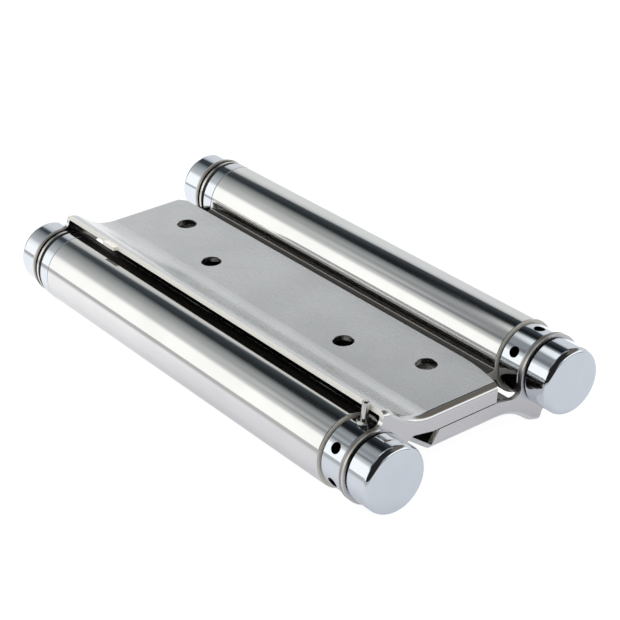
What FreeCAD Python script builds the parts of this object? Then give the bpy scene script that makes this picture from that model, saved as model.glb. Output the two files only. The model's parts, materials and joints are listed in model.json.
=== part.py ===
import FreeCAD, Part
import Sketcher
import math
import os

# Double action spring hinge, closed and lying flat, in millimetres.
# The origin is the middle of the hinge, the two barrels run along Y with the tension collars at the
# near (-Y) end, and +Z points out of the door leaf. The left barrel carries the door leaf and the right
# barrel the jamb leaf: the hinge is the same after half a turn about Y.

doc = FreeCAD.newDocument("double_action_hinge")
sheet = doc.addObject("Spreadsheet::Sheet", "Sizes")

SIZES = [
    ("leaf_length", 152.4, "over both end flanges of a leaf, a 6 inch hinge"),
    ("leaf_sheet", 1.5, "thickness of the leaf's sheet"),
    ("leaf_top", 5.4, "from the hinge's middle plane to the outer face of a leaf"),
    ("leaf_edge", 14.15, "from the middle to a leaf's straight free edge"),
    ("leaf_seam", 0.3, "between the end flanges of the two leaves"),
    ("bend_inside", 0.5, "inside radius of the bend between leaf and end flange"),
    ("flange_end", 11.5, "from the middle to the free end of an end flange"),
    ("door_flange_slant", 0.4, "how far the door leaf's near flange is cut back down to the seam"),
    ("jamb_flange_slant", 2.8, "how far the jamb leaf's near flange is cut back down to the seam"),
    ("root_rise", 1.1, "how far a flange's edge leaves the seam on its way to the ear"),
    ("root_rise_start", 11.0, "from the middle to where the flange's edge leaves the seam"),
    ("root_flat", 2.9, "level run of the flange's edge before the ear"),
    ("near_trim", 11.5, "length of the trimmed corner of the leaf at the near end"),
    ("far_trim", 4.2, "length of the trimmed corner of the leaf at the far end"),
    ("near_trim_round", 45.0, "radius that runs into the trimmed near corner"),
    ("far_trim_round", 3.5, "radius that runs into the trimmed far corner"),
    ("ear_diameter", 21.0, "round ear of a leaf"),
    ("ear_fillet", 2.5, "hollow corners where the ear runs into the flange"),
    ("lip_gap", 2.75, "between a barrel and the lip that rolls over it"),
    ("lip_end_angle", 77.5, "where the lip is cut off, about the barrel, from level"),
    ("lip_end_flat", 2.6, "straight end of the lip"),
    ("lip_ramp_angle", 38.0, "slope that lifts the leaf to its lip"),
    ("ramp_foot_radius", 16.0, "outside radius of the bend at the foot of the ramp"),
    ("ramp_bend_share", 0.9, "largest share of the ramp that its two bends may take"),
    ("lip_bend_radius", 6.0, "outside radius of the bend between the ramp and the lip's end"),
    ("tab_width", 5.9, "small tab on the lip's cut edge"),
    ("tab_reach", 1.5, "how far the tab stands out"),
    ("tab_sheet", 1.1, "thickness of the tab"),
    ("tab_middle", 50.2, "from the middle of the leaf to the tab"),
    ("screw_hole", 6.0, "screw hole of a leaf"),
    ("screw_hole_rim", 0.15, "chamfer round a screw hole"),
    ("outer_hole_span", 113.6, "between the two outer screw holes"),
    ("outer_hole_shift", 1.0, "how far the pair of outer holes sits towards the far end"),
    ("outer_hole_offset", 4.3, "from the middle to the row of outer holes"),
    ("inner_hole_span", 63.2, "between the two inner screw holes"),
    ("inner_hole_offset", 4.8, "from the middle to the row of inner holes, on the lip's side"),
    ("axis_spacing", 60.8, "between the two barrels' axes, across"),
    ("axis_height", 2.8, "from the middle plane to a barrel's axis"),
    ("tube_diameter", 21.6, "outside of a barrel's tube"),
    ("web_sheet", 1.5, "thickness of the web and of the tubes rolled from it"),
    ("foot_reach", 22.4, "from a barrel's axis to the end of its foot on the web"),
    ("web_fillet", 1.2, "where a tube runs into the web"),
    ("tube_rim_round", 0.25, "rounded rim of a tube at both ends"),
    ("collar_step", 0.9, "how much smaller a tension collar is than the tube, on the radius"),
    ("collar_width", 7.6, "visible width of a tension collar"),
    ("collar_end_gap", 0.5, "between the collar and the near ear"),
    ("collar_rim_gap", 0.5, "between the collar and the tube's rim"),
    ("collar_neck_length", 6.0, "neck of the collar inside the tube"),
    ("neck_clearance", 0.3, "between the collar's neck and the tube"),
    ("bar_holes", 6, "holes round a tension collar"),
    ("bar_hole_diameter", 3.2, "hole for the tightening bar and the pin"),
    ("pin_shank", 3.0, "pin inside the collar's hole"),
    ("pin_shoulder", 4.1, "shoulder of the pin, on the collar"),
    ("pin_shoulder_height", 1.0, "height of the pin's shoulder"),
    ("pin_stem", 2.1, "stem of the pin that bears on the lip"),
    ("pin_proud", 1.2, "how far the pin's top stands above the lip's outer skin"),
    ("pin_tip_round", 0.5, "round edge of the pin's top"),
    ("pin_gap", 0.12, "between the pin's stem and the lip's cut edge"),
    ("seat_gap", 0.05, "between pieces that seat on each other"),
    ("plug_flange_width", 4.25, "flange of the fixed plug, flush with the tube"),
    ("plug_neck_length", 12.0, "neck of the fixed plug inside the tube"),
    ("far_spacer_diameter", 18.4, "narrow spacer outside the plug"),
    ("far_spacer_width", 1.5, "thickness of the spacer"),
    ("far_washer_width", 0.9, "thickness of the bright washer"),
    ("far_end_gap", 1.0, "play between the bright washer and the far ear"),
    ("spindle_diameter", 8.0, "spindle through a barrel"),
    ("running_clearance", 0.08, "between the spindle and what turns on it, on the radius"),
    ("cap_diameter", 19.4, "outside of a cap"),
    ("cap_length", 8.3, "length of a cap"),
    ("cap_round", 1.7, "round edge of a cap's face"),
    ("cap_wall", 2.4, "thickness of a cap's face in front of the spindle"),
    ("cap_washer_diameter", 16.8, "dark washer under a cap"),
    ("cap_washer_width", 0.4, "thickness of the washer under a cap"),
    ("edge_break", 0.3, "broken edges of the turned pieces"),
    ("spring_wire", 3.2, "wire of a torsion spring"),
    ("spring_turns", 24, "turns of a torsion spring"),
    ("spring_wall_gap", 0.5, "between the spring and the tube"),
    ("spring_end_gap", 0.3, "between the coil and the pieces at its ends"),
    ("tang_length", 5.0, "straight tang at each end of the spring"),
    ("tang_clearance", 0.25, "between a tang and its hole"),
    ("tang_relief", 0.05, "how much a ground tang is thinner than the wire, on the radius"),
]
for row, (alias, value, meaning) in enumerate(SIZES, start=1):
    sheet.set(f"A{row}", alias)
    sheet.set(f"B{row}", str(value))
    sheet.set(f"C{row}", meaning)
    sheet.setAlias(f"B{row}", alias)
doc.recompute()

# Expressions that more than one piece uses.
TUBE_RADIUS = "(Sizes.tube_diameter / 2)"
TUBE_BORE_RADIUS = f"({TUBE_RADIUS} - Sizes.web_sheet)"
SPINDLE_RADIUS = "(Sizes.spindle_diameter / 2)"
RUNNING_RADIUS = f"({SPINDLE_RADIUS} + Sizes.running_clearance)"
SEAT_RADIUS = f"({SPINDLE_RADIUS} + Sizes.seat_gap)"
LEFT_AXIS_X = "(-Sizes.axis_spacing / 2)"
LEFT_AXIS_Z = "(-Sizes.axis_height)"

# Stations along a barrel, as distances from the middle.
EAR_OUTER = "(Sizes.leaf_length / 2)"
EAR_INNER = f"({EAR_OUTER} - Sizes.leaf_sheet)"
COLLAR_OUTER = f"({EAR_INNER} - Sizes.collar_end_gap)"
COLLAR_SHOULDER = f"({COLLAR_OUTER} - Sizes.collar_width)"
COLLAR_NECK_END = f"({COLLAR_SHOULDER} - Sizes.collar_neck_length)"
COLLAR_MIDDLE = f"({COLLAR_OUTER} - Sizes.collar_width / 2)"
TUBE_NEAR = f"({COLLAR_SHOULDER} - Sizes.collar_rim_gap)"
FAR_WASHER_OUTER = f"({EAR_INNER} - Sizes.far_end_gap)"
FAR_SPACER_OUTER = f"({FAR_WASHER_OUTER} - Sizes.far_washer_width)"
PLUG_OUTER = f"({FAR_SPACER_OUTER} - Sizes.far_spacer_width)"
TUBE_FAR = f"({PLUG_OUTER} - Sizes.plug_flange_width)"
PLUG_NECK_END = f"({TUBE_FAR} - Sizes.plug_neck_length)"
CAP_SEAT = f"({EAR_OUTER} + Sizes.cap_washer_width)"
CAP_FACE = f"({CAP_SEAT} + Sizes.cap_length)"
SPINDLE_END = f"({CAP_FACE} - Sizes.cap_wall)"

# The lip's outer skin is a circle about the barrel, and its cut edge points at the barrel's axis.
LIP_OUTER_RADIUS = f"({TUBE_RADIUS} + Sizes.lip_gap + Sizes.leaf_sheet)"
LIP_INNER_RADIUS = f"({TUBE_RADIUS} + Sizes.lip_gap)"
LIP_END_SLOPE = "(90 - Sizes.lip_end_angle)"
COLLAR_RADIUS = f"({TUBE_RADIUS} - Sizes.collar_step)"
PIN_TOP = f"({LIP_OUTER_RADIUS} + Sizes.pin_proud)"
# The pin stands beside the lip's cut edge. A turn about +Y leans it from upright towards +X.
PIN_LEAN = ("(90 - Sizes.lip_end_angle"
            f" - asin((Sizes.pin_stem / 2 + Sizes.pin_gap) / {LIP_INNER_RADIUS}) / 1 deg)")

FAR_BEYOND = 100.0
POSITION_TOLERANCE = 0.02


def number(expression):
    """Value of an expression as a plain number, for first sketch points and for finding edges."""
    value = sheet.evalExpression(expression)
    return float(getattr(value, "Value", value))


def new_body(name):
    """Empty body whose label names the piece and its file."""
    body = doc.addObject("PartDesign::Body", name)
    body.Label = name
    return body


def new_sketch(body, plane, name, offset=None):
    """Sketch on one of the body's origin planes, moved along its normal by an expression."""
    sketch = body.newObject("Sketcher::SketchObject", name)
    support = next(f for f in body.Origin.OriginFeatures if f.Role == plane)
    sketch.AttachmentSupport = [(support, "")]
    sketch.MapMode = "FlatFace"
    if offset is not None:
        sketch.setExpression("AttachmentOffset.Base.z", offset)
    return sketch


def draw_polygon(sketch, points):
    """Closed line through points given as pairs of expressions, each held by its own two sizes."""
    corners = [FreeCAD.Vector(number(across), number(up), 0) for across, up in points]
    first = sketch.GeometryCount
    count = len(corners)
    for index in range(count):
        sketch.addGeometry(Part.LineSegment(corners[index], corners[(index + 1) % count]), False)
    for index in range(count):
        following = (index + 1) % count
        sketch.addConstraint(Sketcher.Constraint("Coincident", first + index, 2, first + following, 1))
    for index, (across, up) in enumerate(points):
        for kind, expression in (("DistanceX", across), ("DistanceY", up)):
            value = number(expression)
            place = sketch.addConstraint(Sketcher.Constraint(kind, -1, 1, first + index, 1, value))
            sketch.setExpression(f"Constraints[{place}]", expression)


def draw_circle(sketch, across, up, radius):
    """Circle held by its centre and radius, all expressions."""
    centre = FreeCAD.Vector(number(across), number(up), 0)
    ring = sketch.addGeometry(Part.Circle(centre, FreeCAD.Vector(0, 0, 1), number(radius)), False)
    held = [
        (Sketcher.Constraint("DistanceX", -1, 1, ring, 3, number(across)), across),
        (Sketcher.Constraint("DistanceY", -1, 1, ring, 3, number(up)), up),
        (Sketcher.Constraint("Radius", ring, number(radius)), radius),
    ]
    for constraint, expression in held:
        place = sketch.addConstraint(constraint)
        sketch.setExpression(f"Constraints[{place}]", expression)


def add_pad(body, sketch, name, length, symmetric=False, reverse=False):
    """Pad of a sketch by an expression."""
    pad = body.newObject("PartDesign::Pad", name)
    pad.Profile = sketch
    pad.SideType = "Symmetric" if symmetric else "One side"
    pad.Reversed = reverse
    pad.setExpression("Length", length)
    doc.recompute()
    return pad


def add_pocket(body, sketch, name, length=None, symmetric=True, reverse=False):
    """Pocket of a sketch, through everything or by an expression. It has to remove material."""
    before = body.Shape.Volume
    pocket = body.newObject("PartDesign::Pocket", name)
    pocket.Profile = sketch
    pocket.SideType = "Symmetric" if symmetric else "One side"
    pocket.Reversed = reverse
    if length is None:
        pocket.Type = "ThroughAll"
    else:
        pocket.setExpression("Length", length)
    doc.recompute()
    if not body.Shape.Volume < before:
        raise RuntimeError(f"{body.Label}: {name} cuts nothing")
    return pocket


def add_turned(body, name, profile):
    """Solid of revolution about Y of a profile of (radius, place along Y) expressions."""
    sketch = new_sketch(body, "XY_Plane", name + "Profile")
    draw_polygon(sketch, profile)
    turned = body.newObject("PartDesign::Revolution", name)
    turned.Profile = sketch
    turned.ReferenceAxis = (sketch, ["V_Axis"])
    turned.Angle = 360
    doc.recompute()
    return turned


def edges_where(body, test):
    """Names of the body's edges whose middle point and vertices pass the test."""
    found = []
    for index, edge in enumerate(body.Tip.Shape.Edges, start=1):
        if test(edge):
            found.append(f"Edge{index}")
    if not found:
        raise RuntimeError(f"{body.Label}: no edge found")
    return found


def middle_of(edge):
    """Point in the middle of an edge."""
    return edge.valueAt((edge.FirstParameter + edge.LastParameter) / 2)


def near(value, target):
    """True when two lengths are the same to the tolerance for finding edges."""
    return abs(value - target) < POSITION_TOLERANCE


def runs_along_y(edge):
    """True for a straight edge along Y."""
    return edge.Curve.TypeId == "Part::GeomLine" and abs(abs(edge.tangentAt(0).y) - 1) < 1e-6


def add_dressing(body, kind, name, edges, size):
    """Fillet or chamfer of named edges by an expression."""
    base = body.Tip
    dressing = body.newObject(f"PartDesign::{kind}", name)
    dressing.Base = (base, edges)
    dressing.setExpression("Radius" if kind == "Fillet" else "Size", size)
    doc.recompute()
    return dressing


def edge_along_y_at(body, across, up):
    """Edges along Y that pass through a point of the section, given by expressions."""
    target_x = number(across)
    target_z = number(up)

    def test(edge):
        point = edge.Vertexes[0].Point
        return runs_along_y(edge) and near(point.x, target_x) and near(point.z, target_z)

    return edges_where(body, test)


def ring_edges(body, radius, stations):
    """Whole circles about Y of a given radius at given places along Y, all expressions."""
    places = [number(station) for station in stations]
    target = number(radius)

    def test(edge):
        if edge.Curve.TypeId != "Part::GeomCircle" or abs(edge.Curve.Radius - target) > POSITION_TOLERANCE:
            return False
        axis_ok = abs(abs(edge.Curve.Axis.y) - 1) < 1e-6
        return axis_ok and any(near(edge.Curve.Center.y, place) for place in places)

    return edges_where(body, test)


def place_on_barrel(body, side, turn="0", along="0"):
    """Put a piece made about the Y axis onto a barrel. The right barrel is the left one after half a
    turn about Y. A further turn about Y and a shift along Y are expressions."""
    sign = 1 if side == "left" else -1
    half_turn = 0 if side == "left" else 180
    rotation = FreeCAD.Rotation(FreeCAD.Vector(0, 1, 0), half_turn + number(turn))
    body.Placement = FreeCAD.Placement(FreeCAD.Vector(0, 0, 0), rotation)
    body.setExpression("Placement.Base.x", f"{sign} * {LEFT_AXIS_X}")
    body.setExpression("Placement.Base.y", along)
    body.setExpression("Placement.Base.z", f"{sign} * {LEFT_AXIS_Z}")
    body.setExpression("Placement.Rotation.Angle", f"{half_turn} + {turn}")


# Points of the leaf's section, seen from the near end with the ear on the left. The lip's end is
# straight and square to the line to the barrel's axis, and the ramp joins it to the flat leaf.
def on_left_barrel(radius, angle):
    """Point of the section at a radius and angle about the left barrel's axis."""
    return (f"({LEFT_AXIS_X} + {radius} * cos({angle}))", f"({LEFT_AXIS_Z} + {radius} * sin({angle}))")


LIP_TIP = on_left_barrel(LIP_OUTER_RADIUS, "Sizes.lip_end_angle")
LIP_TIP_INSIDE = on_left_barrel(LIP_INNER_RADIUS, "Sizes.lip_end_angle")
LIP_KNEE = (
    f"({LIP_TIP[0]} + Sizes.lip_end_flat * cos({LIP_END_SLOPE}))",
    f"({LIP_TIP[1]} - Sizes.lip_end_flat * sin({LIP_END_SLOPE}))",
)
RAMP_FOOT = (
    f"({LIP_KNEE[0]} + ({LIP_KNEE[1]} - Sizes.leaf_top) / tan(Sizes.lip_ramp_angle))",
    "Sizes.leaf_top",
)
BEND_RADIUS = "(Sizes.bend_inside + Sizes.leaf_sheet)"
KNEE_MEAN_SLOPE = f"((Sizes.lip_ramp_angle + {LIP_END_SLOPE}) / 2)"
KNEE_HALF_TURN = f"((Sizes.lip_ramp_angle - {LIP_END_SLOPE}) / 2)"
# The foot's bend is limited by the length of the ramp that the knee's bend leaves.
RAMP_LENGTH = f"(({LIP_KNEE[1]} - Sizes.leaf_top) / sin(Sizes.lip_ramp_angle))"
KNEE_TANGENT = f"(Sizes.lip_bend_radius * tan({KNEE_HALF_TURN}))"
LARGEST_FOOT_RADIUS = (
    f"((Sizes.ramp_bend_share * {RAMP_LENGTH} - {KNEE_TANGENT}) / tan(Sizes.lip_ramp_angle / 2))"
)
FOOT_RADIUS = f"(min(Sizes.ramp_foot_radius; {LARGEST_FOOT_RADIUS}))"
KNEE_INSIDE = (
    f"({LIP_KNEE[0]} - Sizes.leaf_sheet * sin({KNEE_MEAN_SLOPE}) / cos({KNEE_HALF_TURN}))",
    f"({LIP_KNEE[1]} - Sizes.leaf_sheet * cos({KNEE_MEAN_SLOPE}) / cos({KNEE_HALF_TURN}))",
)
RAMP_FOOT_INSIDE = (
    f"({RAMP_FOOT[0]} - Sizes.leaf_sheet * tan(Sizes.lip_ramp_angle / 2))",
    "(Sizes.leaf_top - Sizes.leaf_sheet)",
)
SEAM = "(Sizes.leaf_seam / 2)"


def leaf_outline(body):
    """Block of the leaf's end view: flange, ramp and lip, with the round ear on the barrel's axis."""
    sketch = new_sketch(body, "XZ_Plane", "EndView")
    root_level = f"({SEAM} + Sizes.root_rise)"
    ear_root = (f"({LEFT_AXIS_X} + ({root_level} - {LEFT_AXIS_Z}) / tan(Sizes.lip_end_angle))", root_level)
    draw_polygon(sketch, [
        ("Sizes.leaf_edge", SEAM),
        ("Sizes.leaf_edge", "Sizes.leaf_top"),
        RAMP_FOOT,
        LIP_KNEE,
        LIP_TIP,
        ear_root,
        (f"({LEFT_AXIS_X} + Sizes.ear_diameter / 2 + Sizes.root_flat)", root_level),
        ("(-Sizes.root_rise_start)", SEAM),
    ])
    add_pad(body, sketch, "EndBlock", "Sizes.leaf_length", symmetric=True)
    ear = new_sketch(body, "XZ_Plane", "EarOutline")
    draw_circle(ear, LEFT_AXIS_X, LEFT_AXIS_Z, "Sizes.ear_diameter / 2")
    add_pad(body, ear, "Ear", "Sizes.leaf_length", symmetric=True)


def leaf_end_bends(body):
    """Round bends of the section, the ear's hollow corners and the bend down to each end flange."""
    for name, point, radius in (
        ("RampFootBend", RAMP_FOOT, FOOT_RADIUS),
        ("KneeBend", LIP_KNEE, "Sizes.lip_bend_radius"),
    ):
        add_dressing(body, "Fillet", name, edge_along_y_at(body, *point), radius)

    ear_radius = number("Sizes.ear_diameter / 2")
    axis_x = number(LEFT_AXIS_X)
    axis_z = number(LEFT_AXIS_Z)

    def on_ear_corner(edge):
        point = edge.Vertexes[0].Point
        return runs_along_y(edge) and near(math.hypot(point.x - axis_x, point.z - axis_z), ear_radius)

    add_dressing(body, "Fillet", "EarCorners", edges_where(body, on_ear_corner), "Sizes.ear_fillet")

    end = number(EAR_OUTER)
    top = number("Sizes.leaf_top")
    tip_x = number(LIP_TIP[0])
    edge_x = number("Sizes.leaf_edge")

    def on_upper_rim(edge):
        point = middle_of(edge)
        return near(abs(point.y), end) and point.z > top - POSITION_TOLERANCE and tip_x < point.x < edge_x

    add_dressing(body, "Fillet", "EndBends", edges_where(body, on_upper_rim), BEND_RADIUS)


def leaf_hollow(body):
    """Cut the block out between its end flanges, up to the inner face of the sheet."""
    sketch = new_sketch(body, "XZ_Plane", "InnerFace")
    along_lip_x = f"({LIP_TIP_INSIDE[0]} - {FAR_BEYOND} * cos({LIP_END_SLOPE}))"
    along_lip_z = f"({LIP_TIP_INSIDE[1]} + {FAR_BEYOND} * sin({LIP_END_SLOPE}))"
    draw_polygon(sketch, [
        (f"(Sizes.leaf_edge + {FAR_BEYOND})", RAMP_FOOT_INSIDE[1]),
        RAMP_FOOT_INSIDE,
        KNEE_INSIDE,
        (along_lip_x, along_lip_z),
        (along_lip_x, f"{-FAR_BEYOND}"),
        (f"(Sizes.leaf_edge + {FAR_BEYOND})", f"{-FAR_BEYOND}"),
    ])
    add_pocket(body, sketch, "Hollow", f"2 * {EAR_INNER}")
    add_dressing(body, "Fillet", "RampFootInside", edge_along_y_at(body, *RAMP_FOOT_INSIDE),
                 f"({FOOT_RADIUS} + Sizes.leaf_sheet)")
    add_dressing(body, "Fillet", "KneeInside", edge_along_y_at(body, *KNEE_INSIDE),
                 "(Sizes.lip_bend_radius - Sizes.leaf_sheet)")

    end = number(EAR_INNER)
    top = number("Sizes.leaf_top - Sizes.leaf_sheet")
    tip_x = number(LIP_TIP_INSIDE[0])
    edge_x = number("Sizes.leaf_edge")

    def on_inner_rim(edge):
        point = middle_of(edge)
        return near(abs(point.y), end) and point.z > top - POSITION_TOLERANCE and tip_x < point.x < edge_x

    add_dressing(body, "Fillet", "InnerBends", edges_where(body, on_inner_rim), "Sizes.bend_inside")


def leaf_trimmed_corners(body):
    """Trim both free corners of the leaf, seen from above, down to the square end of each flange."""
    for name, end, trim, radius in (
        ("Near", f"(-{EAR_OUTER})", "Sizes.near_trim", "Sizes.near_trim_round"),
        ("Far", EAR_OUTER, "Sizes.far_trim", "Sizes.far_trim_round"),
    ):
        inward = "+" if name == "Near" else "-"
        start = f"({end} {inward} {trim})"
        beyond = f"(3 * {end})"
        sketch = new_sketch(body, "XY_Plane", name + "Corner")
        draw_polygon(sketch, [
            ("Sizes.leaf_edge", start),
            (f"(Sizes.leaf_edge + {FAR_BEYOND})", start),
            (f"(Sizes.leaf_edge + {FAR_BEYOND})", beyond),
            ("Sizes.flange_end", beyond),
            ("Sizes.flange_end", end),
        ])
        add_pocket(body, sketch, name + "Trim")
        edge_x = number("Sizes.leaf_edge")
        start_y = number(start)

        def on_corner(edge):
            first, last = (vertex.Point for vertex in (edge.Vertexes[0], edge.Vertexes[-1]))
            upright = near(first.x, last.x) and near(first.y, last.y)
            return upright and near(first.x, edge_x) and near(first.y, start_y)

        add_dressing(body, "Fillet", name + "CornerRound", edges_where(body, on_corner), radius)


def leaf_flange_slant(body, slant):
    """Cut the free end of the near flange back on a slant, seen from the near end."""
    sketch = new_sketch(body, "XZ_Plane", "FlangeSlant", EAR_OUTER)
    inner_face = "(Sizes.leaf_top - Sizes.leaf_sheet)"
    slant_end = f"(Sizes.flange_end - {slant})"
    beyond = f"(Sizes.flange_end + {FAR_BEYOND})"
    draw_polygon(sketch, [
        ("Sizes.flange_end", inner_face),
        (beyond, inner_face),
        (beyond, f"{-FAR_BEYOND}"),
        (slant_end, f"{-FAR_BEYOND}"),
        (slant_end, SEAM),
    ])
    add_pocket(body, sketch, "SlantedEnd", BEND_RADIUS, symmetric=False)


def leaf_holes(body):
    """Four screw holes in a zigzag with broken rims, and the ears' spindle holes."""
    screws = new_sketch(body, "XY_Plane", "ScrewHoles")
    for across, span, shift in (
        ("Sizes.outer_hole_offset", "Sizes.outer_hole_span", "Sizes.outer_hole_shift"),
        ("(-Sizes.inner_hole_offset)", "Sizes.inner_hole_span", "0"),
    ):
        for sign in ("-", "+"):
            draw_circle(screws, across, f"({shift} {sign} {span} / 2)", "Sizes.screw_hole / 2")
    add_pocket(body, screws, "Screws")
    top = number("Sizes.leaf_top")
    radius = number("Sizes.screw_hole / 2")

    def on_hole_rim(edge):
        curve = edge.Curve
        return curve.TypeId == "Part::GeomCircle" and near(curve.Radius, radius) and near(curve.Center.z, top)

    add_dressing(body, "Chamfer", "ScrewRims", edges_where(body, on_hole_rim), "Sizes.screw_hole_rim")
    spindle = new_sketch(body, "XZ_Plane", "SpindleHole")
    draw_circle(spindle, LEFT_AXIS_X, LEFT_AXIS_Z, SEAT_RADIUS)
    add_pocket(body, spindle, "SpindleHoles")


def leaf_tab(body):
    """Small tab on the lip's cut edge near the far end, a thinner strip of the same sheet."""
    sketch = new_sketch(body, "XZ_Plane", "TabSection", "(-(Sizes.tab_middle + Sizes.tab_width / 2))")
    outer = f"({LIP_INNER_RADIUS} + Sizes.tab_sheet)"
    run = f"(Sizes.tab_reach / {LIP_INNER_RADIUS} * 180 / pi)"
    root = f"(Sizes.lip_end_angle - {run} / 2)"
    end = f"(Sizes.lip_end_angle + {run})"
    draw_polygon(sketch, [
        on_left_barrel(LIP_INNER_RADIUS, "Sizes.lip_end_angle"),
        on_left_barrel(LIP_INNER_RADIUS, end),
        on_left_barrel(outer, end),
        on_left_barrel(outer, root),
        on_left_barrel(f"({LIP_INNER_RADIUS} + Sizes.leaf_sheet / 4)", root),
    ])
    add_pad(body, sketch, "Tab", "Sizes.tab_width")


def make_leaf(name, side):
    """One leaf, folded from sheet. The jamb leaf is turned half a turn about Y, and its near flange is
    cut back more."""
    body = new_body(name)
    leaf_outline(body)
    leaf_end_bends(body)
    leaf_hollow(body)
    leaf_tab(body)
    leaf_trimmed_corners(body)
    leaf_flange_slant(body, "Sizes.door_flange_slant" if side == "left" else "Sizes.jamb_flange_slant")
    leaf_holes(body)
    if side == "right":
        half_turn = FreeCAD.Rotation(FreeCAD.Vector(0, 1, 0), 180)
        body.Placement = FreeCAD.Placement(FreeCAD.Vector(0, 0, 0), half_turn)
    return body


def make_web(name):
    """The centre web: one sheet whose two edges are rolled into the barrels' tubes, each ending in a
    foot that lies on the web. Seen from the near end it is an S."""
    body = new_body(name)
    length = f"({TUBE_NEAR} + {TUBE_FAR})"
    half_sheet = "(Sizes.web_sheet / 2)"
    far_end = f"(-{TUBE_FAR})"
    for side, sign in (("Left", ""), ("Right", "-")):
        axis = (f"({sign}{LEFT_AXIS_X})", f"({sign}{LEFT_AXIS_Z})")
        sketch = new_sketch(body, "XZ_Plane", side + "Roll", far_end)
        draw_circle(sketch, *axis, TUBE_RADIUS)
        add_pad(body, sketch, side + "Tube", length)
        foot_end = f"({axis[0]} {'+' if side == 'Left' else '-'} Sizes.foot_reach)"
        low, high = (f"({half_sheet})", f"(3 * {half_sheet})")
        if side == "Left":
            low, high = (f"(-{high})", f"(-{low})")
        flat = new_sketch(body, "XZ_Plane", side + "FootSection", far_end)
        draw_polygon(flat, [(axis[0], low), (foot_end, low), (foot_end, high), (axis[0], high)])
        add_pad(body, flat, side + "Foot", length)
        if side == "Left":
            plate = new_sketch(body, "XZ_Plane", "WebSection", far_end)
            right_x = f"(-{LEFT_AXIS_X})"
            draw_polygon(plate, [
                (LEFT_AXIS_X, f"(-{half_sheet})"),
                (right_x, f"(-{half_sheet})"),
                (right_x, half_sheet),
                (LEFT_AXIS_X, half_sheet),
            ])
            add_pad(body, plate, "WebPlate", length)

    axis_x = number(f"(-{LEFT_AXIS_X})")
    axis_z = number(f"(-{LEFT_AXIS_Z})")
    radius = number(TUBE_RADIUS)

    def on_tube_root(edge):
        point = edge.Vertexes[0].Point
        return runs_along_y(edge) and any(
            near(math.hypot(point.x - sign * axis_x, point.z - sign * axis_z), radius) for sign in (1, -1)
        )

    add_dressing(body, "Fillet", "TubeRoots", edges_where(body, on_tube_root), "Sizes.web_fillet")
    bores = new_sketch(body, "XZ_Plane", "Bores")
    for sign in ("", "-"):
        draw_circle(bores, f"({sign}{LEFT_AXIS_X})", f"({sign}{LEFT_AXIS_Z})", TUBE_BORE_RADIUS)
    add_pocket(body, bores, "TubeBores")
    rims = ring_edges(body, TUBE_RADIUS, [f"(-{TUBE_NEAR})", TUBE_FAR])
    add_dressing(body, "Fillet", "TubeRims", rims, "Sizes.tube_rim_round")
    return body


SPRING_RADIUS = f"({TUBE_BORE_RADIUS} - Sizes.spring_wall_gap - Sizes.spring_wire / 2)"
TANG_HOLE_RADIUS = "(Sizes.spring_wire / 2 + Sizes.tang_clearance)"
TANG_HOLE_DEPTH = "(Sizes.tang_length + Sizes.spring_end_gap)"


def make_collar(side):
    """Tension collar: a turned ring with a neck inside the tube, radial holes for a bar or the pin, and
    a blind hole for the spring's tang."""
    body = new_body(f"{side}_tension_collar")
    neck = f"({TUBE_BORE_RADIUS} - Sizes.neck_clearance)"
    add_turned(body, "Ring", [
        (RUNNING_RADIUS, f"(-{COLLAR_OUTER})"),
        (COLLAR_RADIUS, f"(-{COLLAR_OUTER})"),
        (COLLAR_RADIUS, f"(-{COLLAR_SHOULDER})"),
        (neck, f"(-{COLLAR_SHOULDER})"),
        (neck, f"(-{COLLAR_NECK_END})"),
        (RUNNING_RADIUS, f"(-{COLLAR_NECK_END})"),
    ])
    rims = ring_edges(body, COLLAR_RADIUS, [f"(-{COLLAR_OUTER})", f"(-{COLLAR_SHOULDER})"])
    add_dressing(body, "Chamfer", "Rims", rims, "Sizes.edge_break")
    tang = new_sketch(body, "XZ_Plane", "TangHole", COLLAR_NECK_END)
    draw_circle(tang, SPRING_RADIUS, "0", TANG_HOLE_RADIUS)
    add_pocket(body, tang, "Tang", TANG_HOLE_DEPTH, symmetric=False, reverse=True)
    bar = new_sketch(body, "XY_Plane", "BarHole")
    draw_circle(bar, "0", f"(-{COLLAR_MIDDLE})", "Sizes.bar_hole_diameter / 2")
    pocket = add_pocket(body, bar, "Bar", COLLAR_RADIUS, symmetric=False, reverse=True)
    pattern = body.newObject("PartDesign::PolarPattern", "BarHoles")
    pattern.Originals = [pocket]
    pattern.Axis = (bar, ["V_Axis"])
    pattern.Angle = 360
    pattern.setExpression("Occurrences", "Sizes.bar_holes")
    body.Tip = pattern
    doc.recompute()
    place_on_barrel(body, side, PIN_LEAN)
    return body


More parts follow.
